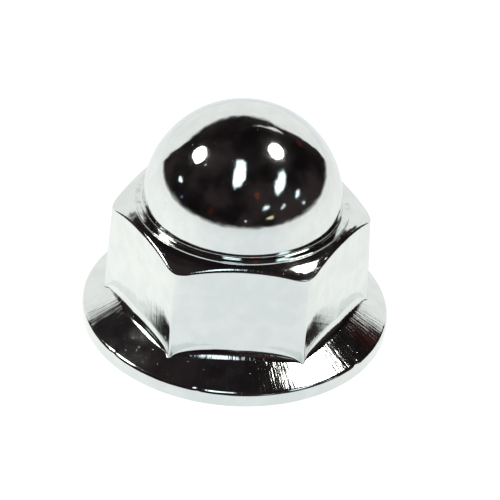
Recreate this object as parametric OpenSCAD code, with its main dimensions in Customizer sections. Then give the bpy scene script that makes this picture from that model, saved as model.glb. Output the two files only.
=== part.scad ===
// Flanged cap nut for an M8 x 1.25 thread, forged in one piece and tapped blind from its seat.
// Millimetres. The origin is the centre of the seat, and +Z runs up the thread's axis to the dome.
// One flat faces -Y, and the others follow every 60 degrees.

/* [Hexagon] */
// Width across flats at the foot of the hexagon
across_flats = 13; // [12:0.1:15.6]
// Lean of each flat towards the axis
flat_draft = 0.6; // [0.5:0.1:4]
// Radius of the six corners at the foot
corner_foot_radius = 0.2; // [0.15:0.05:0.5]
// Radius of the six corners at the top
corner_top_radius = 1.5; // [0.6:0.05:1.6]
// Slope of the chamfer over the hexagon
chamfer_slope = 30; // [20:1:40]

/* [Flange] */
// How far the flange stands out from the flats
flange_reach = 2.2; // [1.9:0.1:3.2]
// Height of the flange at its rim
rim_h = 0.88; // [0.7:0.01:1.3]
// Radius of the rim's upper edge
rim_top_radius = 0.3; // [0.1:0.05:0.35]
// Radius of the rim's lower edge
rim_foot_radius = 0.2; // [0.1:0.05:0.3]
// Slope of the flange's upper face
flange_slope = 29; // [15:1:35]
// Radius of the hollow where the flange meets the hexagon, or the least that reaches the flats
root_radius = 1.2; // [0.8:0.1:2]
// How far that hollow runs out from the middle of a flat
root_run = 0.55; // [0.2:0.05:0.6]

/* [Shoulder and dome] */
// How far the ring around the dome stands in from the flats
ring_inset = 0.45; // [0.4:0.01:1.2]
// Height of the ring's upper edge over the seat
ring_z = 7.85; // [6.5:0.01:9.5]
// Height of the ring's step over the chamfer
ring_step = 0.1; // [0.05:0.01:0.2]
// How far the side of the dome stands in from the ring
dome_inset = 0.45; // [0.2:0.01:0.6]
// Radius of the hollow between the ring and the dome
neck_radius = 0.13; // [0.1:0.01:0.4]
// Height of the dome's straight wall over that hollow
dome_wall = 0.07; // [0.05:0.01:0.8]

/* [Thread] */
// Minor diameter of the thread, the width of the tapping bore
bore_d = 6.647; // [6.647:0.001:6.912]
// Diameter of the countersink at the seat
countersink_d = 8.7; // [8.2:0.1:9.2]
// Full angle of the countersink
countersink_angle = 90; // [80:5:120]
// Wall left between the blind end of the hole and the top of the dome
crown_wall = 2; // [1.5:0.1:4]
// Full angle of the drill's tip at the blind end
drill_angle = 118; // [110:1:140]

/* [Hidden] */
$fn = 96;

// How far a cutter or a filler runs past the surface that it ends at
past = 1;
// How far a round stands past the surfaces that it meets, so that they cross cleanly
crossing = 0.01;
// How far behind a flat the root's hollow ends
root_cover = 0.05;

bore_r = bore_d / 2;
countersink_r = countersink_d / 2;

foot_apothem = across_flats / 2;
flange_r = foot_apothem + flange_reach;
ring_r = foot_apothem - ring_inset;
dome_r = ring_r - dome_inset;
foot_z = flange_z(foot_apothem);
// The hexagon starts halfway between the rim's height and the flange's cone at its corners
hexagon_z = (rim_h + flange_z(foot_apothem / cos(30))) / 2;
chamfer_z = ring_z - ring_step;
neck_z = ring_z + neck_radius - crossing;
dome_z = neck_z + dome_wall;
dome_top_z = dome_z + dome_r;

countersink_h = (countersink_r - bore_r) / tan(countersink_angle / 2);
drill_tip_h = bore_r / tan(drill_angle / 2);
bore_depth = dome_top_z - crown_wall - drill_tip_h;

// The root's hollow: the least radius that reaches the flats, where its arc leaves the flange's cone,
// the centre of the arc, and where it ends in a flat
root_least = (root_run + root_cover) / (1 - sin(flange_slope));
root_r = max(root_radius, root_least);
root_start = [foot_apothem + root_run, flange_z(foot_apothem + root_run)];
root_centre = root_start + (root_r - crossing) * [sin(flange_slope), cos(flange_slope)];
root_end_r = foot_apothem - root_cover;
root_end_z = root_centre[1] - sqrt(max(pow(root_r, 2) - pow(root_centre[0] - root_end_r, 2), 0));

// Height of the flange's cone at a distance r from the axis
function flange_z(r) = rim_h + (flange_r - r) * tan(flange_slope);

// Distance from the axis to a flat at height z
function apothem(z) = foot_apothem - (z - foot_z) * tan(flat_draft);

// Radius of a corner at height z, which grows evenly from the rim's height to the top
function corner_radius(z) =
    corner_foot_radius + (corner_top_radius - corner_foot_radius) * (z - rim_h) / (chamfer_z - rim_h);

// Distance from the axis to the centre of a corner's round
function corner_centre(z) = (apothem(z) - corner_radius(z) + crossing) / cos(30);

// Distance from the axis to the chord between the lines where a corner's round leaves its flats
function corner_chord(z) = (apothem(z) - corner_radius(z)) / cos(30) + corner_radius(z) * cos(30);

// The flange's section from the axis out, with both edges of its rim rounded
module flange_section() {
    slope_out = [sin(flange_slope), cos(flange_slope)];
    top_centre = [
        flange_r - rim_top_radius,
        rim_h + rim_top_radius * (tan(flange_slope) - 1 / cos(flange_slope)),
    ];
    foot_centre = [flange_r - rim_foot_radius, rim_foot_radius];
    polygon([
        [0, 0],
        [foot_centre[0], 0],
        foot_centre,
        [flange_r, foot_centre[1]],
        [flange_r, top_centre[1]],
        top_centre,
        top_centre + rim_top_radius * slope_out,
        [foot_apothem - past, flange_z(foot_apothem - past)],
        [0, flange_z(foot_apothem - past)],
    ]);
    translate(foot_centre) circle(r = rim_foot_radius);
    translate(top_centre) circle(r = rim_top_radius);
}

// The section of the hollow that carries the flange's cone up into the flats
module root_section() {
    difference() {
        polygon([
            [foot_apothem - past, foot_z - past],
            [root_start[0], foot_z - past],
            root_start,
            root_centre,
            [root_centre[0], root_end_z],
            [foot_apothem - past, root_end_z],
        ]);
        translate(root_centre) circle(r = root_r);
    }
}

module flange() {
    rotate_extrude() {
        flange_section();
        root_section();
    }
}

// All that lies inside one flat: a block whose outer face leans with the draft
module inside_flat() {
    block = 4 * flange_r;
    translate([0, -foot_apothem, foot_z])
        rotate([-flat_draft, 0, 0])
        translate([-block / 2, 0, -block / 2])
        cube(block);
}

// All that lies under the chamfer: a cone from the hexagon's foot to halfway up the ring's step
module under_chamfer() {
    top_z = chamfer_z + ring_step / 2;
    top_r = ring_r - (top_z - chamfer_z) / tan(chamfer_slope);
    foot_r = ring_r + (chamfer_z - hexagon_z) / tan(chamfer_slope);
    translate([0, 0, hexagon_z]) cylinder(h = top_z - hexagon_z, r1 = foot_r, r2 = top_r);
}

// What is taken off a corner to round it: the part of a slab that lies outside a leaning cone
module corner_waste() {
    rise = chamfer_z - rim_h;
    chord_shift = corner_chord(chamfer_z) - corner_chord(rim_h);
    centre_shift = corner_centre(chamfer_z) - corner_centre(rim_h);
    // The cone widens at the angle that its axis makes with the flats, so that it touches them all the way up
    cone_h = norm([centre_shift, rise]);
    lean = asin((corner_top_radius - corner_foot_radius) / cone_h);
    difference() {
        translate([corner_chord(rim_h), 0, rim_h])
            rotate([0, atan2(chord_shift, rise), 0])
            translate([0, -corner_top_radius, 0])
            cube([past, 2 * corner_top_radius, norm([chord_shift, rise])]);
        translate([corner_centre(rim_h), 0, rim_h])
            rotate([0, atan2(centre_shift, rise), 0])
            cylinder(h = cone_h, r1 = corner_foot_radius / cos(lean), r2 = corner_top_radius / cos(lean));
    }
}

module hexagon() {
    difference() {
        intersection() {
            under_chamfer();
            intersection_for(side = [0 : 5]) rotate(60 * side) inside_flat();
        }
        for (corner = [0 : 5]) rotate(60 * corner) corner_waste();
    }
}

// The ring, the hollow between it and the dome, the straight wall and the dome, turned about the axis
module crown() {
    rotate_extrude() {
        translate([0, rim_h]) square([ring_r, ring_z - rim_h]);
        difference() {
            translate([0, rim_h]) square([dome_r + neck_radius, neck_z - rim_h]);
            translate([dome_r + neck_radius, neck_z]) circle(r = neck_radius);
        }
        translate([0, rim_h]) square([dome_r, dome_z - rim_h]);
        intersection() {
            translate([0, dome_z]) circle(r = dome_r);
            translate([0, dome_z]) square(dome_r);
        }
    }
}

// The countersink, the straight bore and the drill's tip
module blind_bore() {
    mouth_r = countersink_r + past * tan(countersink_angle / 2);
    translate([0, 0, -past]) cylinder(h = bore_depth + past, r = bore_r);
    translate([0, 0, -past]) cylinder(h = countersink_h + past, r1 = mouth_r, r2 = bore_r);
    translate([0, 0, bore_depth]) cylinder(h = drill_tip_h, r1 = bore_r, r2 = 0);
}

module cap_nut() {
    color("silver")
        difference() {
            union() {
                flange();
                hexagon();
                crown();
            }
            blind_bore();
        }
}

cap_nut();
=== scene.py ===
"""Chrome-plated M8 flanged cap nut on a white floor, in a dark room with lamps and windows around it.

The nut is one closed surface of columns and rows. Every outer column is the nut's section in one half-plane
through its axis, walked from the mouth of the hole out over the rim and up to the top of the dome, so that
each edge is a true round. The thread is a second sheet of columns whose rows climb one pitch a turn.
Sections are in millimetres, and only the finished mesh is scaled to metres.
Around the nut, directions are an azimuth from the camera's side, positive to its right, and an elevation.
"""

import math

import bpy
import numpy as np
from mathutils import Matrix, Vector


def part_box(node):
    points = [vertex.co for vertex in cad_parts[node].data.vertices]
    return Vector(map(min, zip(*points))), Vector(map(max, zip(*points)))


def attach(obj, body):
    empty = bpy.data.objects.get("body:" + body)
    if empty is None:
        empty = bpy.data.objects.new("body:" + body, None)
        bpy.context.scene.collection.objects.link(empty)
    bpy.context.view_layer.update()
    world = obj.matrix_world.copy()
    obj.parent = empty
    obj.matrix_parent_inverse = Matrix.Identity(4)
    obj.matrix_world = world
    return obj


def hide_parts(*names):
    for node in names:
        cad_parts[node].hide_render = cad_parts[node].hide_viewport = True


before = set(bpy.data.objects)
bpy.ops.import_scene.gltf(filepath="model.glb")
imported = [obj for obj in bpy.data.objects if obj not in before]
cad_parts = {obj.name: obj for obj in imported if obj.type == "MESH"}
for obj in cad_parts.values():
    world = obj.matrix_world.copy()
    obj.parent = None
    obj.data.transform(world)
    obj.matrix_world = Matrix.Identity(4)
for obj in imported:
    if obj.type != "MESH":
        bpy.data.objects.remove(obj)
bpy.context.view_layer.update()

MM = 0.001
LOW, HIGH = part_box("cap_nut")

# Sizes of the nut, in millimetres
FLANGE_R = HIGH.x / MM
TOP_Z = HIGH.z / MM
RIM_H = 0.88
FLANGE_SLOPE = math.radians(29)
FOOT_APOTHEM = 6.5
DRAFT = math.radians(0.6)
RING_R = 6.05
RING_Z = 7.85
RING_STEP = 0.1
DOME_R = 5.6
DOME_Z = TOP_Z - DOME_R

# The chamfer is crowned: its slope at the ring, the radius of its arc in millimetres, and its steepest slope
CHAMFER_INNER_SLOPE = math.radians(22)
CHAMFER_ARC = 5.2
CHAMFER_STEEPEST = math.radians(60)
SLOPE_HALVINGS = 30

# Radii of its edges and hollows, in millimetres
MOUTH_ROUND = 0.05
RIM_FOOT_ROUND = 0.2
RIM_TOP_ROUND = 0.3
ROOT_ROUND = 0.8
ROOT_CORNER_ROUND = 0.06
CORNER_FOOT_ROUND = 0.2
CORNER_TOP_ROUND = 1.5
CHAMFER_ROUND = 0.3
CHAMFER_CORNER_ROUND = 0.12
RING_FOOT_ROUND = 0.03
RING_TOP_ROUND = 0.05
NECK_ROUND = 0.13
# How late the rounds shrink on the way from the middle of a flat to its corner, as a power of the way
ROUND_SHRINK = 4

# The flats are a little hollow towards the feet of the corners, below a wide bend, in millimetres
HOLLOW = 0.22
HOLLOW_H = 2.4
HOLLOW_ROUND = 20.0
# How close to the corner the hollow ends, as a power of the way from the middle of the flat
HOLLOW_END = 12

# The thread, M8 x 1.25, in millimetres
MINOR_R = 3.3235
MAJOR_R = 4.0
PITCH = 1.25
COUNTERSINK_R = 4.35
COUNTERSINK_SHOWN = 0.3
RUNOUT = 1.25
TAP_CLEARANCE = 1.5 * PITCH
CROWN_WALL = 2.0
DRILL_HALF_ANGLE = math.radians(59)
DRILL_TOP = TOP_Z - CROWN_WALL
BORE_TOP = DRILL_TOP - MINOR_R / math.tan(DRILL_HALF_ANGLE)
THREAD_LOW = COUNTERSINK_R - MAJOR_R
THREAD_TOP = BORE_TOP - TAP_CLEARANCE
# Share of a pitch and share of the thread's depth, at its kinks and halfway between them
THREAD_PROFILE = [
    (0, 0),
    (1 / 8, 0),
    (1 / 4, 0),
    (13 / 32, 1 / 2),
    (9 / 16, 1),
    (5 / 8, 1),
    (11 / 16, 1),
    (27 / 32, 1 / 2),
]

# Nicks in the rim's upper edge: azimuth, width and depth, in degrees and millimetres
NICKS = [(-14, 0.16, 0.07), (-52, 0.2, 0.06), (52, 0.22, 0.1), (118, 0.2, 0.06), (-141, 0.24, 0.07)]
# How much further a nick reaches inwards than along the rim
NICK_STRETCH = 2

# Columns across one flat, which are close together near its corners, as angles from its middle in degrees
FLATS = 6
CORNER_ANGLE = 30
TIGHT_FROM = 24
WIDE_COLUMNS = 49
TIGHT_COLUMNS = 18

# Edges sharper than this stay sharp, and points that agree to this many digits of a millimetre are one
SHARP_ANGLE = math.radians(40)
SAME_POINT_DIGITS = 6

# Stretches of the section, from the countersink to the dome: zone, parts of the straight, parts of the arc
# that ends it
STRETCHES = [
    ("seat", 1, 3),
    ("seat", 4, 5),
    ("rim", 2, 12),
    ("flange", 8, 14),
    ("flat", 6, 6),
    ("flat", 8, 6),
    ("shoulder", 2, 6),
    ("shoulder", 2, 3),
    ("shoulder", 1, 5),
    ("shoulder", 1, 8),
    ("dome", 2, 0),
]
DOME_PARTS = 44

# The camera: where it stands round the point that it turns about, and how far off centre that point lies
CAMERA_AZIMUTH = -2.49
CAMERA_ELEVATION = 34.29
CAMERA_DISTANCE = 193.3
CAMERA_TARGET_Z = 6.767
CAMERA_ROLL = 4.25
CAMERA_AIM = (0.484, -1.838)
FOCAL_LENGTH = 248.8
SENSOR = 36
CLIP_START = 0.005
CLIP_END = 10

# Things around the nut, in metres
FLOOR_R = 0.5
FLOOR_FADE_R = 0.25
ROOM_R = 1.2
CARD_R = 0.9
BACKDROP_R = 0.7
HAZE_LOW = -0.06
HAZE_TOP = 0.05

# The middle of the range that smooth noise fills
NOISE_BAND = (0.35, 0.65)

# How slowly each kind of grain changes along itself
UPRIGHT_SLOW = 0.04
RADIAL_SLOW = 0.05
TURNED_SLOW = 0.4

# The chrome: how many features of each kind a millimetre holds, where pits begin and end, and its colours
PATCH_SCALE = 0.45
FAINTEST_GRAIN = 0.35
PEEL_SCALE = 1.3
PIT_SCALE = 9.0
PIT_BAND = (0.76, 0.84)
PIT_SHARE = 0.5
POLISH_SCALE = 0.9
POLISH_BAND = (0.3, 0.7)
POLISH_RANGE = (0.8, 1.3)
TINT_SCALE = 0.9
CHROME_DULL = (0.755, 0.795, 0.78, 1)
CHROME_BRIGHT = (0.805, 0.845, 0.82, 1)
PIT_COLOUR = (0.3, 0.3, 0.3, 1)

# The uneven edges of the lights
RAGGED_SCALE = 14.0
RAGGED_DEPTH = 0.9
GLOW_BAND = (0.15, 0.85)
OVAL_POINTS = 24

# The floor's and the world's brightness, as the camera sees them
FLOOR_SEEN = 1.2
BEYOND_SEEN = 1.1
# The floor's brightness as the chrome shows it: in front, more at both sides as painted lamp light, more at
# the left, less far away
FLOOR_SHOWN = 0.91
SIDES_PAINTED_LAMPLIGHT = 0.13
RIGHT_PAINTED_LAMPLIGHT = -0.035
FAR_BAND = (0.02, 0.12)
FAR_LESS = 0.07
# Painted light on the floor in the chrome: warm painted lamp light at the sides, fading to cool painted
# window light in front and behind
PAINTED_WINDOW_LIGHT_UP_TO = 0.1
PAINTED_LAMPLIGHT_TINT = (1, 1, 0.985, 1)
PAINTED_WINDOW_LIGHT_TINT = (0.975, 1, 1.02, 1)

# The room: its colours, its noise and its grid
ROOM_DARK = (0.006, 0.0045, 0.005, 1)
ROOM_LIGHT = (0.03, 0.022, 0.023, 1)
ROOM_HAZE = (0.82, 0.83, 0.82, 1)
ROOM_SCALE = 1.4
ROOM_BAND = (0.35, 0.7)
ROOM_FOOT = -12
ROOM_AROUND = 64
ROOM_UP = 24

# The backdrop: the elevation of its foot, how far it fades past its edges, and its look
BACKDROP_FOOT = -3
BACKDROP_FADE = 2
BACKDROP_SHARES = (0, 0.4, 0.8, 1)
BACKDROP_COLUMNS = 66
SIDE_COLUMNS = 2
BACKDROP_COLOUR = (1, 1, 0.99)
BACKDROP_STRENGTH = 0.92


# The nut's shape


def flange_z(r):
    """Height of the flange's cone at r."""
    return RIM_H + (FLANGE_R - r) * math.tan(FLANGE_SLOPE)


def face_angles():
    """Angles across one flat from its middle, close together at its corners."""
    wide = np.linspace(-TIGHT_FROM, TIGHT_FROM, WIDE_COLUMNS)
    tight = np.linspace(TIGHT_FROM, CORNER_ANGLE, TIGHT_COLUMNS)[1:]
    return np.radians(np.concatenate([-tight[::-1], wide, tight[:-1]]))


def rounded_hexagon(psi, apothem, round_r):
    """Distance from the axis to a rounded hexagon, at the angle psi from the middle of a flat."""
    centre = (apothem - round_r) / math.cos(math.pi / 6)
    flat_end = math.atan2((apothem - round_r) * math.tan(math.pi / 6), apothem)
    turn = math.pi / 6 - np.abs(psi)
    flat = apothem / np.cos(psi)
    inside = np.maximum(round_r**2 - (centre * np.sin(turn)) ** 2, 0)
    corner = centre * np.cos(turn) + np.sqrt(inside)
    return np.where(np.abs(psi) <= flat_end, flat, corner)


def rounded_path(corners, rounds):
    """Points and directions along a path with rounded corners, in the plane of r and z."""
    points, ways = [], []
    leave = corners[0]
    for i, (_, runs, steps) in enumerate(STRETCHES):
        here, ahead = corners[i + 1], corners[min(i + 2, len(corners) - 1)]
        way = (here - corners[i]) / np.linalg.norm(here - corners[i])
        turn = 0.0
        arrive = here
        if steps:
            onward = (ahead - here) / np.linalg.norm(ahead - here)
            turn = math.atan2(way[0] * onward[1] - way[1] * onward[0], float(way @ onward))
            arrive = here - way * rounds[i] * math.tan(abs(turn) / 2)
        for k in range(runs):
            points.append(leave + (arrive - leave) * k / runs)
            ways.append(way)
        side = math.copysign(1.0, turn)
        centre = arrive + side * (rounds[i] if steps else 0) * np.array([-way[1], way[0]])
        for k in range(steps):
            a = turn * k / steps
            spin = np.array([[math.cos(a), -math.sin(a)], [math.sin(a), math.cos(a)]])
            points.append(centre + spin @ (arrive - centre))
            ways.append(spin @ way)
        spin = np.array([[math.cos(turn), -math.sin(turn)], [math.sin(turn), math.cos(turn)]])
        leave = centre + spin @ (arrive - centre)
    return points, ways


def meets_wall(wall_foot, lean, foot_z, r, z, slope):
    """Where a cone through (r, z), falling outwards by slope, meets a wall that leans by lean."""
    at = (z + (r - wall_foot + lean * foot_z) * slope) / (1 + lean * slope)
    return np.array([wall_foot + lean * (at - foot_z), at])


def chamfer(wall_foot, lean, foot_z, chamfer_z):
    """The crowned chamfer: where it meets the wall, where its arc's straights meet, and the arc's round."""
    low, high = CHAMFER_INNER_SLOPE, CHAMFER_STEEPEST
    for _ in range(SLOPE_HALVINGS):
        slope = (low + high) / 2
        r = RING_R + CHAMFER_ARC * (math.sin(slope) - math.sin(CHAMFER_INNER_SLOPE))
        z = chamfer_z - CHAMFER_ARC * (math.cos(CHAMFER_INNER_SLOPE) - math.cos(slope))
        if r < wall_foot + lean * (z - foot_z):
            low = slope
        else:
            high = slope
    half_turn = math.tan((slope - CHAMFER_INNER_SLOPE) / 2)
    straight = CHAMFER_ARC * half_turn
    inwards = straight * np.array([math.cos(CHAMFER_INNER_SLOPE), -math.sin(CHAMFER_INNER_SLOPE)])
    chamfer_round = max(straight - CHAMFER_ROUND, 0) / half_turn
    return np.array([r, z]), np.array([RING_R, chamfer_z]) + inwards, chamfer_round


def section(psi, wall_foot, wall_top):
    """The nut's outer section at one angle, from inside the countersink to the top of the dome."""
    foot_z = flange_z(FOOT_APOTHEM)
    lean = (wall_top - wall_foot) / (RING_Z - foot_z)
    chamfer_z = RING_Z - RING_STEP
    across = min(abs(math.tan(psi)) / math.tan(math.pi / 6), 1.0)
    shrink = 1 - across**ROUND_SHRINK
    root_round = ROOT_CORNER_ROUND + (ROOT_ROUND - ROOT_CORNER_ROUND) * shrink
    edge_round = CHAMFER_CORNER_ROUND + (CHAMFER_ROUND - CHAMFER_CORNER_ROUND) * shrink
    hollow = HOLLOW * across * (1 - across**HOLLOW_END)
    bend = np.array([wall_foot + lean * HOLLOW_H, foot_z + HOLLOW_H])
    sunk_lean = lean + hollow / HOLLOW_H
    brow, brow_turn, chamfer_round = chamfer(wall_foot, lean, foot_z, chamfer_z)
    corners = [
        np.array([COUNTERSINK_R - COUNTERSINK_SHOWN, COUNTERSINK_SHOWN]),
        np.array([COUNTERSINK_R, 0.0]),
        np.array([FLANGE_R, 0.0]),
        np.array([FLANGE_R, RIM_H]),
        meets_wall(wall_foot - hollow, sunk_lean, foot_z, FLANGE_R, RIM_H, math.tan(FLANGE_SLOPE)),
        bend,
        brow,
        brow_turn,
        np.array([RING_R, chamfer_z]),
        np.array([RING_R, RING_Z]),
        np.array([DOME_R, RING_Z]),
        np.array([DOME_R, DOME_Z]),
    ]
    rounds = [
        MOUTH_ROUND,
        RIM_FOOT_ROUND,
        RIM_TOP_ROUND,
        root_round,
        HOLLOW_ROUND,
        edge_round,
        chamfer_round,
        RING_FOOT_ROUND,
        RING_TOP_ROUND,
        NECK_ROUND,
        0,
    ]
    points, ways = rounded_path(corners, rounds)
    for k in range(DOME_PARTS + 1):
        a = math.pi / 2 * k / DOME_PARTS
        points.append(np.array([DOME_R * math.cos(a), DOME_Z + DOME_R * math.sin(a)]))
        ways.append(np.array([-math.sin(a), math.cos(a)]))
    return np.array(points), np.array(ways)


def nick_depth(thetas, sections):
    """How far each point of the sections is pushed in by the nicks, in millimetres."""
    depth = np.zeros(sections.shape[:2])
    for azimuth, width, deepest in NICKS:
        turn = (thetas - math.radians(azimuth) + math.pi) % (2 * math.pi) - math.pi
        across = (turn * FLANGE_R)[:, None] / width
        up = (sections[:, :, 1] - RIM_H) / width
        out = (sections[:, :, 0] - FLANGE_R) / width
        depth += deepest * np.exp(-(across**2) - up**2 - (out / NICK_STRETCH) ** 2)
    return depth


def outer_grid():
    """Points and normals of the outer surface, as arrays of columns by rows by three, and its angles."""
    across_flat = face_angles()
    psis = np.tile(across_flat, FLATS)
    thetas = psis + np.repeat(np.arange(FLATS) * 2 * math.pi / FLATS, len(across_flat))
    top_apothem = FOOT_APOTHEM - (RING_Z - flange_z(FOOT_APOTHEM)) * math.tan(DRAFT)
    feet = rounded_hexagon(psis, FOOT_APOTHEM, CORNER_FOOT_ROUND)
    tops = rounded_hexagon(psis, top_apothem, CORNER_TOP_ROUND)
    made = [section(p, f, t) for p, f, t in zip(psis, feet, tops, strict=True)]
    sections = np.array([m[0] for m in made])
    ways = np.array([m[1] for m in made])
    sections[:, :, 0] -= nick_depth(thetas, sections)
    out = np.stack([np.sin(thetas), -np.cos(thetas)], axis=1)[:, None, :]
    points = np.concatenate([sections[:, :, :1] * out, sections[:, :, 1:]], axis=2)
    along = np.concatenate([ways[:, :, :1] * out, ways[:, :, 1:]], axis=2)
    around = np.roll(points, -1, axis=0) - np.roll(points, 1, axis=0)
    level = np.stack([np.cos(thetas), np.sin(thetas), np.zeros_like(thetas)], axis=1)
    around[:, -1] = level
    normals = np.cross(around, along)
    normals /= np.linalg.norm(normals, axis=2, keepdims=True)
    return points, normals, thetas


def thread_grid(thetas):
    """Points of the hole from the countersink to the drill's tip. The threaded rows climb a pitch a turn."""
    rows_per_turn = len(THREAD_PROFILE)
    # Each column starts higher than the last, so the rows begin a turn below the thread
    turns = math.ceil((THREAD_TOP - THREAD_LOW) / PITCH) + 1
    climb = (thetas - thetas[0]) / (2 * math.pi)
    shares = np.array([n + share - 1 for n in range(turns) for share, _ in THREAD_PROFILE])
    depths = np.array([depth for _ in range(turns) for _, depth in THREAD_PROFILE])
    z = THREAD_LOW + PITCH * (shares[None, :] + climb[:, None])
    fade = np.clip((THREAD_TOP - z) / RUNOUT, 0, 1)
    r = MINOR_R + (MAJOR_R - MINOR_R) * depths[None, :] * fade
    z = np.clip(z, THREAD_LOW, THREAD_TOP)
    r = np.maximum(r, COUNTERSINK_R - z)
    ends = [(MINOR_R, BORE_TOP), (MINOR_R / 2, (BORE_TOP + DRILL_TOP) / 2), (0.0, DRILL_TOP)]
    for end_r, end_z in ends:
        r = np.column_stack([r, np.full(len(thetas), end_r)])
        z = np.column_stack([z, np.full(len(thetas), end_z)])
    points = np.stack([r * np.sin(thetas)[:, None], -r * np.cos(thetas)[:, None], z], axis=2)
    return points, rows_per_turn, len(shares)


def row_zones():
    """The zone of each band of the outer grid, from the countersink up."""
    zones = [zone for zone, runs, steps in STRETCHES for _ in range(runs + steps)]
    return zones + ["dome"] * DOME_PARTS


def outer_faces(columns, rows):
    """Faces of the outer surface, and the zone of each."""
    row_zone = row_zones()
    faces, zones = [], []
    for c in range(columns):
        n = (c + 1) % columns
        for r in range(rows - 1):
            faces.append((c * rows + r, n * rows + r, n * rows + r + 1, c * rows + r + 1))
            zones.append(row_zone[r])
    return faces, zones


def hole_faces(columns, rows, inner_rows, shift, threaded):
    """Faces of the hole, and those that join each of its columns to the outer surface's finer ones."""
    base = columns * rows
    inner_columns = columns // 2
    faces = []
    for c in range(inner_columns):
        last = c == inner_columns - 1
        n = 0 if last else c + 1
        for r in range(inner_rows - 1):
            # Past the last column, a threaded row goes on as the first column's row one turn up
            jump = shift if last and r < threaded else 0
            low = min(r + jump, threaded - 1) if r < threaded else r
            high = min(r + 1 + jump, threaded - 1) if r + 1 < threaded else r + 1
            here = base + c * inner_rows + r
            faces.append((here, here + 1, base + n * inner_rows + high, base + n * inner_rows + low))
        fine = [(2 * c + k) % columns * rows for k in range(3)]
        faces.append((base + c * inner_rows, base + n * inner_rows, fine[2], fine[1], fine[0]))
    return faces


def weld(points, faces, zones):
    """Which points to keep so that none is double, and the faces that are left, with their zones."""
    keys = np.round(points, SAME_POINT_DIGITS)
    _, first, same = np.unique(keys, axis=0, return_index=True, return_inverse=True)
    same = same.ravel()
    kept_faces, kept_zones = [], []
    for face, zone in zip(faces, zones, strict=True):
        loop = [int(same[v]) for v in face]
        loop = [v for k, v in enumerate(loop) if v != loop[k - 1]]
        if len(set(loop)) >= 3:
            kept_faces.append(loop)
            kept_zones.append(zone)
    return first, kept_faces, kept_zones


def skin_mesh(zone_order):
    """The whole nut as one closed mesh, with exact normals outside and a material for each zone."""
    outer, normals, thetas = outer_grid()
    columns, rows = outer.shape[:2]
    inner, shift, threaded = thread_grid(thetas[::2])
    faces, zones = outer_faces(columns, rows)
    inside = hole_faces(columns, rows, inner.shape[1], shift, threaded)
    points = np.concatenate([outer.reshape(-1, 3), inner.reshape(-1, 3)])
    first, kept_faces, kept_zones = weld(points, faces + inside, zones + ["thread"] * len(inside))
    # Where a normal is zero, Blender works out its own
    facing = np.concatenate([normals.reshape(-1, 3), np.zeros_like(inner.reshape(-1, 3))])
    mesh = bpy.data.meshes.new("cap_nut_skin")
    mesh.from_pydata((points[first] * MM).tolist(), [], kept_faces)
    mesh.polygons.foreach_set("material_index", [zone_order.index(zone) for zone in kept_zones])
    mesh.polygons.foreach_set("use_smooth", [True] * len(kept_faces))
    mesh.set_sharp_from_angle(angle=SHARP_ANGLE)
    mesh.normals_split_custom_set_from_vertices(facing[first].tolist())
    return mesh


# Node helpers


def node(tree, kind, inputs=None, **settings):
    """A new node with its settings and inputs. An input is a socket to link or a plain value."""
    made = tree.nodes.new(kind)
    for key, value in settings.items():
        setattr(made, key, value)
    for key, value in (inputs or {}).items():
        if isinstance(value, bpy.types.NodeSocket):
            tree.links.new(value, made.inputs[key])
        else:
            made.inputs[key].default_value = value
    return made


def maths(tree, operation, a, b=0.0):
    """One step of arithmetic."""
    return node(tree, "ShaderNodeMath", {0: a, 1: b}, operation=operation).outputs[0]


def spread(tree, value, low, high, to_low=0.0, to_high=1.0):
    """value from low to high, eased into the range from to_low to to_high."""
    inputs = {"Value": value, "From Min": low, "From Max": high, "To Min": to_low, "To Max": to_high}
    return node(tree, "ShaderNodeMapRange", inputs, interpolation_type="SMOOTHSTEP").outputs[0]


def blend(tree, share, a, b):
    """The colour a where share is 0, and b where it is 1."""
    # Inputs 6 and 7 and output 2 are the Mix node's colours
    return node(tree, "ShaderNodeMix", {0: share, 6: a, 7: b}, data_type="RGBA").outputs[2]


def noise(tree, vector, scale, detail=2.0):
    """Smooth noise about one half, with features 1/scale apart."""
    inputs = {"Vector": vector, "Scale": scale, "Detail": detail}
    return node(tree, "ShaderNodeTexNoise", inputs).outputs["Fac"]


def empty_tree(owner):
    """The owner's node tree, with nothing in it."""
    owner.use_nodes = True
    owner.node_tree.nodes.clear()
    return owner.node_tree


# Chrome


def places(tree):
    """A point's place in millimetres, its direction from the axis, and how far along its section it lies."""
    at = node(tree, "ShaderNodeTexCoord").outputs["Object"]
    place = node(tree, "ShaderNodeVectorMath", {0: at, "Scale": 1 / MM}, operation="SCALE").outputs[0]
    flat = node(tree, "ShaderNodeVectorMath", {0: place, 1: (1, 1, 0)}, operation="MULTIPLY").outputs[0]
    out = node(tree, "ShaderNodeVectorMath", {0: flat}, operation="NORMALIZE").outputs[0]
    radius = node(tree, "ShaderNodeVectorMath", {0: flat}, operation="LENGTH").outputs["Value"]
    height = node(tree, "ShaderNodeSeparateXYZ", {0: place}).outputs["Z"]
    return place, out, maths(tree, "SUBTRACT", radius, height)


def grain(tree, kind):
    """Coordinates in millimetres that change fast across the grain and slowly along it."""
    place, out, length = places(tree)
    if kind == "upright":
        stretch = (1, 1, UPRIGHT_SLOW)
        return node(tree, "ShaderNodeVectorMath", {0: place, 1: stretch}, operation="MULTIPLY").outputs[0]
    if kind == "radial":
        ring = node(tree, "ShaderNodeVectorMath", {0: out, "Scale": FLANGE_R}, operation="SCALE").outputs[0]
        run = maths(tree, "MULTIPLY", length, RADIAL_SLOW)
        slow = node(tree, "ShaderNodeCombineXYZ", {"Z": run}).outputs[0]
        return node(tree, "ShaderNodeVectorMath", {0: ring, 1: slow}, operation="ADD").outputs[0]
    slow = node(tree, "ShaderNodeVectorMath", {0: out, "Scale": TURNED_SLOW}, operation="SCALE").outputs[0]
    fast = node(tree, "ShaderNodeCombineXYZ", {"Z": length}).outputs[0]
    return node(tree, "ShaderNodeVectorMath", {0: slow, 1: fast}, operation="ADD").outputs[0]


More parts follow.
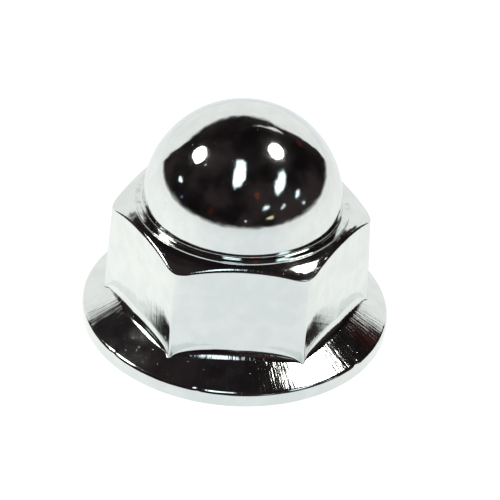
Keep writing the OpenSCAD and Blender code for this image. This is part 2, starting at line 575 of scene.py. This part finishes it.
def chrome(name, kind, grain_scale, grain_tilt, peel_tilt, pit_depth, rough):
    """Bright chrome plate: a soft orange peel, grain that shows the metal's working, pits, and uneven polish.

    Tilts are how far the surface leans, in radians, and pit_depth is in millimetres.
    """
    mat = bpy.data.materials.new(name)
    tree = empty_tree(mat)
    place = places(tree)[0]
    lines = noise(tree, grain(tree, kind), grain_scale, detail=4.0)
    patches = spread(tree, noise(tree, place, PATCH_SCALE), *NOISE_BAND, FAINTEST_GRAIN, 1.0)
    line_height = maths(tree, "MULTIPLY", maths(tree, "MULTIPLY", lines, patches), grain_tilt / grain_scale)
    peel = noise(tree, place, PEEL_SCALE, detail=1.0)
    peel_height = maths(tree, "MULTIPLY", peel, peel_tilt / PEEL_SCALE)
    pits = spread(tree, noise(tree, place, PIT_SCALE, detail=1.0), *PIT_BAND)
    pit_height = maths(tree, "MULTIPLY", pits, -pit_depth)
    height = maths(tree, "ADD", maths(tree, "ADD", line_height, peel_height), pit_height)
    bump = node(tree, "ShaderNodeBump", {"Height": height, "Strength": 1.0, "Distance": MM}).outputs[0]
    polish = noise(tree, place, POLISH_SCALE, detail=3.0)
    roughness = spread(tree, polish, *POLISH_BAND, rough * POLISH_RANGE[0], rough * POLISH_RANGE[1])
    tint = spread(tree, noise(tree, place, TINT_SCALE, detail=4.0), *NOISE_BAND)
    colour = blend(tree, tint, CHROME_DULL, CHROME_BRIGHT)
    dulled = blend(tree, maths(tree, "MULTIPLY", pits, PIT_SHARE), colour, PIT_COLOUR)
    inputs = {"Base Color": dulled, "Metallic": 1.0, "Roughness": roughness, "Normal": bump}
    surface = node(tree, "ShaderNodeBsdfPrincipled", inputs)
    node(tree, "ShaderNodeOutputMaterial", {"Surface": surface.outputs[0]})
    return mat


# Zones of the nut: kind of grain, its scale and tilt, the peel's tilt, the depth of pits, roughness
CHROMES = {
    "seat": ("turned", 6.0, 0.03, 0.01, 0.003, 0.1),
    "rim": ("upright", 3.0, 0.03, 0.03, 0.003, 0.09),
    "flange": ("radial", 6.0, 0.1, 0.012, 0.003, 0.08),
    "flat": ("upright", 8.0, 0.1, 0.012, 0.002, 0.08),
    "shoulder": ("turned", 7.0, 0.04, 0.02, 0.003, 0.07),
    "dome": ("turned", 4.0, 0.004, 0.012, 0.002, 0.07),
    "thread": ("turned", 7.0, 0.02, 0.02, 0.003, 0.16),
}


def make_nut():
    """The nut's skin, a material for each of its zones, and its place in the frame."""
    zone_order = list(CHROMES)
    mesh = skin_mesh(zone_order)
    for zone, settings in CHROMES.items():
        mesh.materials.append(chrome("chrome_" + zone, *settings))
    nut = bpy.data.objects.new("cap_nut_skin", mesh)
    bpy.context.scene.collection.objects.link(nut)
    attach(nut, "root")
    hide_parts("cap_nut")


# The room


def direction(azimuth, elevation):
    """The unit vector towards an azimuth from the camera's side and an elevation, both in degrees."""
    a, e = math.radians(azimuth + CAMERA_AZIMUTH), math.radians(elevation)
    return np.array([math.sin(a) * math.cos(e), -math.cos(a) * math.cos(e), math.sin(e)])


def staged(name, points, faces, material, seen=False):
    """A mesh that belongs to the surroundings. The camera sees through it unless seen is set."""
    mesh = bpy.data.meshes.new(name)
    mesh.from_pydata([tuple(p) for p in points], [], faces)
    mesh.materials.append(material)
    made = bpy.data.objects.new(name, mesh)
    made.visible_camera = seen
    bpy.context.scene.collection.objects.link(made)
    return made


def set_glow(made, glow):
    """How bright each point of a card is, from 0 at a soft edge to 1."""
    made.data.attributes.new("glow", "FLOAT", "POINT").data.foreach_set("value", glow)


def glow_material(name, colour, strength):
    """Light that fades unevenly to nothing where the card's glow does."""
    mat = bpy.data.materials.new(name)
    tree = empty_tree(mat)
    glow = node(tree, "ShaderNodeAttribute", attribute_name="glow").outputs["Fac"]
    at = node(tree, "ShaderNodeTexCoord").outputs["Object"]
    ragged = maths(tree, "SUBTRACT", noise(tree, at, RAGGED_SCALE, detail=4.0), 0.5)
    uneven = maths(tree, "ADD", glow, maths(tree, "MULTIPLY", ragged, RAGGED_DEPTH))
    share = spread(tree, uneven, *GLOW_BAND)
    light = node(tree, "ShaderNodeEmission", {"Color": (*colour, 1), "Strength": strength})
    clear = node(tree, "ShaderNodeBsdfTransparent")
    mixed = node(tree, "ShaderNodeMixShader", {0: share, 1: clear.outputs[0], 2: light.outputs[0]})
    node(tree, "ShaderNodeOutputMaterial", {"Surface": mixed.outputs[0]})
    return mat


def card(name, outline, soft, colour, strength):
    """A flat light inside the outline of directions, whose edge fades over the share soft of its width."""
    outer = [CARD_R * d for d in outline]
    middle = sum(outer) / len(outer)
    inner = [middle + (p - middle) * (1 - soft) for p in outer]
    n = len(outer)
    faces = [(k, (k + 1) % n, n + (k + 1) % n, n + k) for k in range(n)]
    faces += [(n + k, n + (k + 1) % n, 2 * n) for k in range(n)]
    made = staged(name, [*outer, *inner, middle], faces, glow_material(name, colour, strength))
    set_glow(made, [0.0] * n + [1.0] * (n + 1))


def oval(azimuth, elevation, width, height, lean=0.0):
    """Directions round an oval, whose sizes are angles in degrees and whose top leans clockwise."""
    middle = direction(azimuth, elevation)
    right = np.cross([0, 0, 1], middle)
    right /= np.linalg.norm(right)
    up = np.cross(middle, right)
    half_w = math.tan(math.radians(width / 2))
    half_h = math.tan(math.radians(height / 2))
    tilt = math.radians(lean)
    outline = []
    for k in range(OVAL_POINTS):
        a = 2 * math.pi * k / OVAL_POINTS
        x = half_w * math.cos(a)
        y = half_h * math.sin(a)
        along = x * math.cos(tilt) + y * math.sin(tilt)
        above = y * math.cos(tilt) - x * math.sin(tilt)
        outline.append(middle + right * along + up * above)
    return outline


# Colours of the lights
WARM = (1, 0.97, 0.92)
COOL = (0.82, 0.94, 1)
BLUE = (0.25, 0.4, 1)
YELLOW = (1, 0.95, 0.6)
RED = (1, 0.25, 0.18)

# Oval lights: azimuth, elevation, width, height, lean, softness, colour, strength
OVALS = {
    "left_lamp": (-100, 43, 21, 16, 0, 0.25, WARM, 14),
    "right_lamp": (107, 60, 18, 17, 0, 0.25, WARM, 14),
    "low_light_a": (29, 22, 11, 4, -20, 0.6, COOL, 1.5),
    "low_light_b": (50, 18, 9, 3, -25, 0.6, COOL, 1.3),
    "low_light_c": (74, 21, 11, 5, -30, 0.6, COOL, 1.6),
    "low_light_d": (33, 10, 11, 4, 0, 0.5, YELLOW, 0.8),
    "low_light_e": (5, 9, 3, 4, 0, 0.5, COOL, 1.2),
    "low_light_f": (77, 10, 5, 4, 0, 0.5, COOL, 1.2),
    "side_light_a": (-88, 17, 9, 5, 0, 0.5, COOL, 1.6),
    "side_light_b": (-75, 7, 4, 5, 0, 0.8, BLUE, 0.5),
    "side_light_c": (-78, 47, 3, 4, 0, 0.7, WARM, 0.7),
    "red_patch_a": (20, 37, 9, 11, 0, 0.6, RED, 0.12),
    "red_patch_b": (-36, 12, 9, 14, 0, 0.8, RED, 0.04),
    "red_patch_c": (132, 30, 10, 10, 0, 0.8, RED, 0.05),
    "second_window": (60, 41, 34, 13, -33, 0.4, COOL, 1.6),
    "rail_a": (158, 50, 22, 1.5, -25, 0.5, WARM, 1.2),
    "rail_b": (150, 45, 16, 3.0, -30, 0.5, WARM, 1.0),
}

# The large window: its outline as azimuths and elevations, its softness and its strength
WINDOW = [
    (-13, 41),
    (-20, 47),
    (-24, 56),
    (-28, 68),
    (-46, 77),
    (-10, 80),
    (10, 77),
    (6, 66),
    (5, 55),
    (-4, 46),
]
WINDOW_SOFT = 0.35
WINDOW_STRENGTH = 1.9

# The backdrop's upper edge, as azimuths and elevations
BACKDROP_TOP = [
    (-123, 18),
    (-126, 26),
    (-134, 32),
    (-146, 36),
    (-168, 39),
    (-190, 41),
    (-204, 42),
    (-215, 37),
    (-221, 25),
    (-225, 12),
]


def make_lights():
    """The lamps, the windows and the small lights that the chrome shows."""
    for name, (azimuth, elevation, width, height, lean, soft, colour, strength) in OVALS.items():
        card(name, oval(azimuth, elevation, width, height, lean), soft, colour, strength)
    outline = [direction(azimuth, elevation) for azimuth, elevation in WINDOW]
    card("window", outline, WINDOW_SOFT, COOL, WINDOW_STRENGTH)


def make_backdrop():
    """White paper behind the nut, whose edges fade into the room."""
    azimuths = np.linspace(BACKDROP_TOP[0][0], BACKDROP_TOP[-1][0], BACKDROP_COLUMNS)
    tops = np.interp(azimuths, [p[0] for p in BACKDROP_TOP][::-1], [p[1] for p in BACKDROP_TOP][::-1])
    rows = len(BACKDROP_SHARES)
    points, glow, faces = [], [], []
    for i, (azimuth, top) in enumerate(zip(azimuths, tops, strict=True)):
        side = min(i, BACKDROP_COLUMNS - 1 - i, SIDE_COLUMNS) / SIDE_COLUMNS
        for k, share in enumerate(BACKDROP_SHARES):
            elevation = BACKDROP_FOOT + (top + BACKDROP_FADE - BACKDROP_FOOT) * share
            points.append(BACKDROP_R * direction(azimuth, elevation))
            glow.append(0.0 if share == 1 else side)
            if i and k:
                here = i * rows + k
                faces.append((here, here - 1, here - 1 - rows, here - rows))
    paper = glow_material("backdrop_paper", BACKDROP_COLOUR, BACKDROP_STRENGTH)
    made = staged("backdrop", points, faces, paper)
    set_glow(made, glow)


def make_room():
    """Dark brown walls all round, with a pale haze low down."""
    mat = bpy.data.materials.new("room_wall")
    tree = empty_tree(mat)
    at = node(tree, "ShaderNodeTexCoord").outputs["Object"]
    up = node(tree, "ShaderNodeSeparateXYZ", {0: at}).outputs["Z"]
    haze = spread(tree, up, HAZE_LOW, HAZE_TOP, 1.0, 0.0)
    shade = spread(tree, noise(tree, at, ROOM_SCALE, detail=4.0), *ROOM_BAND)
    wall = blend(tree, haze, blend(tree, shade, ROOM_DARK, ROOM_LIGHT), ROOM_HAZE)
    light = node(tree, "ShaderNodeEmission", {"Color": wall, "Strength": 1.0})
    node(tree, "ShaderNodeOutputMaterial", {"Surface": light.outputs[0]})
    points, faces = [], []
    for j in range(ROOM_UP + 1):
        elevation = ROOM_FOOT + (90 - ROOM_FOOT) * j / ROOM_UP
        for i in range(ROOM_AROUND):
            points.append(ROOM_R * direction(360 * i / ROOM_AROUND, elevation))
            if j:
                here, beside = j * ROOM_AROUND + i, j * ROOM_AROUND + (i + 1) % ROOM_AROUND
                faces.append((here, beside, beside - ROOM_AROUND, here - ROOM_AROUND))
    staged("room", points, faces, mat)


def painted_floor_light(tree, at, away):
    """Colour and brightness of the floor as the chrome shows it, at a place and a distance from the axis,
    with painted lamp light at its sides and painted window light in front and behind.
    """
    toward = node(tree, "ShaderNodeVectorMath", {0: at}, operation="NORMALIZE").outputs[0]
    side = node(tree, "ShaderNodeSeparateXYZ", {0: toward}).outputs["X"]
    # Painted lamp light brightens and warms the floor towards both sides, more at the left; painted window
    # light cools it in front and behind
    painted_side_light = maths(tree, "MULTIPLY", maths(tree, "MULTIPLY", side, side), SIDES_PAINTED_LAMPLIGHT)
    painted_lamplight = maths(tree, "ADD", painted_side_light, maths(tree, "MULTIPLY", side, RIGHT_PAINTED_LAMPLIGHT))
    far = spread(tree, away, *FAR_BAND, 0.0, FAR_LESS)
    strength = maths(tree, "SUBTRACT", maths(tree, "ADD", painted_lamplight, FLOOR_SHOWN), far)
    painted_window_light = spread(tree, painted_side_light, 0.0, PAINTED_WINDOW_LIGHT_UP_TO, 1.0, 0.0)
    return blend(tree, painted_window_light, PAINTED_LAMPLIGHT_TINT, PAINTED_WINDOW_LIGHT_TINT), strength


def floor_material(name, seen):
    """Paper that fades out far away and is clear from below. It is plain white where the camera sees it, and
    carries painted lamp light and painted window light where the chrome sees it.
    """
    mat = bpy.data.materials.new(name)
    tree = empty_tree(mat)
    at = node(tree, "ShaderNodeTexCoord").outputs["Object"]
    away = node(tree, "ShaderNodeVectorMath", {0: at}, operation="LENGTH").outputs["Value"]
    colour, strength = ((1, 1, 1, 1), FLOOR_SEEN) if seen else painted_floor_light(tree, at, away)
    light = node(tree, "ShaderNodeEmission", {"Color": colour, "Strength": strength})
    below = node(tree, "ShaderNodeNewGeometry").outputs["Backfacing"]
    clear_share = maths(tree, "MAXIMUM", below, spread(tree, away, FLOOR_FADE_R, FLOOR_R))
    clear = node(tree, "ShaderNodeBsdfTransparent")
    mixed = node(tree, "ShaderNodeMixShader", {0: clear_share, 1: light.outputs[0], 2: clear.outputs[0]})
    node(tree, "ShaderNodeOutputMaterial", {"Surface": mixed.outputs[0]})
    return mat


def make_floor():
    """White paper, once plain white for the camera and once dimmer, with painted light and shade, for the
    chrome to reflect.
    """
    s = FLOOR_R
    corners, face = [(-s, -s, 0), (s, -s, 0), (s, s, 0), (-s, s, 0)], [(0, 1, 2, 3)]
    seen = staged("floor", corners, face, floor_material("floor_seen", True), seen=True)
    seen.visible_glossy = False
    seen.visible_diffuse = False
    staged("floor_reflected_painted_light", corners, face, floor_material("floor_in_chrome_painted_light", False))


def make_world():
    """White beyond the floor."""
    world = bpy.data.worlds.new("beyond")
    bpy.context.scene.world = world
    tree = empty_tree(world)
    sky = node(tree, "ShaderNodeBackground", {"Color": (1, 1, 1, 1), "Strength": BEYOND_SEEN})
    node(tree, "ShaderNodeOutputWorld", {"Surface": sky.outputs[0]})


def make_camera():
    """Looks down on the nut's front, a little from its left and a little askew."""
    back = direction(0, CAMERA_ELEVATION)
    right = direction(90, 0)
    up = np.cross(back, right)
    roll = math.radians(CAMERA_ROLL)
    level = right * math.cos(roll) + up * math.sin(roll)
    above = up * math.cos(roll) - right * math.sin(roll)
    target = np.array([0, 0, CAMERA_TARGET_Z])
    place = target + back * CAMERA_DISTANCE
    aim = target + level * CAMERA_AIM[0] + above * CAMERA_AIM[1]
    away = (place - aim) / np.linalg.norm(place - aim)
    across = level - away * (level @ away)
    across /= np.linalg.norm(across)
    lens = bpy.data.cameras.new("camera")
    lens.sensor_width = SENSOR
    lens.lens = FOCAL_LENGTH
    lens.clip_start = CLIP_START
    lens.clip_end = CLIP_END
    camera = bpy.data.objects.new("camera", lens)
    axes = np.array([across, np.cross(away, across), away]).T
    camera.matrix_world = Matrix([[*axes[i], place[i] * MM] for i in range(3)] + [[0, 0, 0, 1]])
    bpy.context.scene.collection.objects.link(camera)
    bpy.context.scene.camera = camera


make_nut()
make_floor()
make_room()
make_backdrop()
make_lights()
make_world()
make_camera()
bpy.context.scene.view_settings.view_transform = "Standard"
